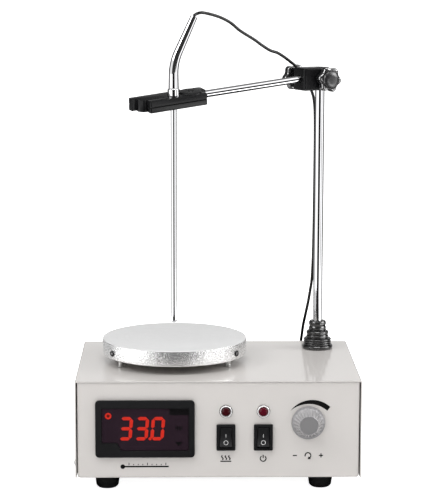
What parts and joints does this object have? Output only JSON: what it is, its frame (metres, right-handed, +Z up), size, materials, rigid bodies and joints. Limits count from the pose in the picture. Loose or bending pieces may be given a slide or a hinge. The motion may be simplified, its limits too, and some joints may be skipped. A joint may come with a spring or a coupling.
{
  "type": "magnetic stirrer",
  "caption": "Bench magnetic stirrer with a round heated plate on a sheet-metal case, a temperature display, switches, a speed knob and a stand whose arm and clip hold a temperature probe.",
  "frame": {"origin": "on the bench under the middle of the object, without its lead", "axes": "+Z up, -Y towards the operator, who faces the front panel, +X to the operator's right"},
  "size_m": [0.2338, 0.2069, 0.3831],
  "materials": {
    "paint": "light warm grey semi-gloss paint",
    "aluminium": "turned satin aluminium",
    "chrome": "polished chrome plating",
    "steel": "plain plated steel",
    "brass": "plain brass",
    "black_plastic": "semi-gloss black plastic",
    "black_rubber": "matte black rubber",
    "grey_plastic": "grey plastic with fine flutes",
    "smoked_window": "dark smoked acrylic",
    "red_lens": "clear red lens",
    "circuit_board": "green circuit board",
    "magnet": "dark sintered magnet",
    "ceramic": "mica and ceramic heater pad"
  },
  "bodies": {
    "case": {"base_pan": "paint", "control_board": "circuit_board", "cover": "paint", "cover_screw_front_left": "steel", "cover_screw_front_right": "steel", "cover_screw_rear_left": "steel", "cover_screw_rear_right": "steel", "display_board": "circuit_board", "display_housing": "black_plastic", "display_window": "smoked_window", "foot_front_left": "black_rubber", "foot_front_right": "black_rubber", "foot_rear_left": "black_rubber", "foot_rear_right": "black_rubber", "fuse_holder": "black_plastic", "heat_lamp_bezel": "chrome", "heat_lamp_lens": "red_lens", "heat_switch": "black_plastic", "heater_element": "ceramic", "hot_plate": "aluminium", "mast_boot": "black_rubber", "mast_nut": "steel", "motor": "steel", "motor_bracket": "steel", "plate_post_1": "steel", "plate_post_2": "steel", "plate_post_3": "steel", "pot_nut": "brass", "power_inlet": "black_plastic", "power_lamp_bezel": "chrome", "power_lamp_lens": "red_lens", "power_switch": "black_plastic", "probe_lead_lower": "black_rubber", "probe_plug": "black_plastic", "probe_socket": "steel", "rim_screw_1": "steel", "rim_screw_2": "steel", "rim_screw_3": "steel", "speed_pot": "steel"},
    "speed": {"speed_knob": "grey_plastic", "pot_shaft": "steel"},
    "heat_rocker": {"heat_rocker": "black_plastic"},
    "power_rocker": {"power_rocker": "black_plastic"},
    "rotor": {"magnet_carrier": "aluminium", "magnet_left": "magnet", "magnet_right": "magnet"},
    "mast": {"mast": "chrome"},
    "boss": {"boss_body": "black_plastic", "probe_lead_upper": "black_rubber"},
    "mast_clamp": {"mast_clamp_knob": "black_plastic"},
    "arm_clamp": {"arm_clamp_knob": "black_plastic"},
    "arm": {"arm": "chrome", "clip_fixed_jaw": "black_plastic", "clip_pin": "steel", "clip_spring": "steel"},
    "jaw": {"clip_moving_jaw": "black_plastic"},
    "probe": {"probe_stem": "chrome", "probe_ferrule": "chrome", "probe_tube": "chrome"}
  },
  "joints": [
    {"name": "speed_turn", "type": "hinge", "parent": "case", "child": "speed", "pos_m": [0.072, -0.078, 0.0569], "axis": [0, -1, 0], "range_deg": [-150, 150]},
    {"name": "heat_rock", "type": "hinge", "parent": "case", "child": "heat_rocker", "pos_m": [0.006, -0.078, 0.045], "axis": [1, 0, 0], "range_deg": [0, 20]},
    {"name": "power_rock", "type": "hinge", "parent": "case", "child": "power_rocker", "pos_m": [0.036, -0.078, 0.045], "axis": [1, 0, 0], "range_deg": [0, 20]},
    {"name": "stir_spin", "type": "hinge", "parent": "case", "child": "rotor", "pos_m": [-0.0354, 0.0018, 0.075], "axis": [0, 0, 1], "continuous": true},
    {"name": "mast_turn", "type": "hinge", "parent": "case", "child": "mast", "pos_m": [0.0876, 0.0484, 0.2], "axis": [0, 0, 1], "range_deg": [-60, 45], "deforming": ["probe_lead_lower"]},
    {"name": "boss_slide", "type": "slide", "parent": "mast", "child": "boss", "axis": [0, 0, 1], "range_m": [-0.01, 0.005], "deforming": ["probe_lead_lower"]},
    {"name": "mast_clamp_turn", "type": "hinge", "parent": "boss", "child": "mast_clamp", "pos_m": [0.09128, 0.0413, 0.3235], "axis": [0.4602, -0.8878, 0], "range_deg": [0, 180]},
    {"name": "arm_clamp_turn", "type": "hinge", "parent": "boss", "child": "arm_clamp", "pos_m": [0.07011, 0.05172, 0.32412], "axis": [-0.4602, 0.8878, 0], "range_deg": [0, 180]},
    {"name": "arm_roll", "type": "hinge", "parent": "boss", "child": "arm", "pos_m": [0.06984, 0.0392, 0.3235], "axis": [-0.8831, -0.4578, -0.1028], "range_deg": [-15, 15], "deforming": ["probe_lead_upper"]},
    {"name": "jaw_open", "type": "hinge", "parent": "arm", "child": "jaw", "pos_m": [-0.02187, -0.01334, 0.3118], "axis": [-0.01, -0.2008, 0.9796], "range_deg": [0, 12], "stiffness_Nm_per_rad": 0.15, "springref_deg": -22.92},
    {"name": "probe_slide", "type": "slide", "parent": "arm", "child": "probe", "axis": [0, 0, 1], "range_m": [0, 0.06], "deforming": ["probe_lead_upper"]}
  ]
}
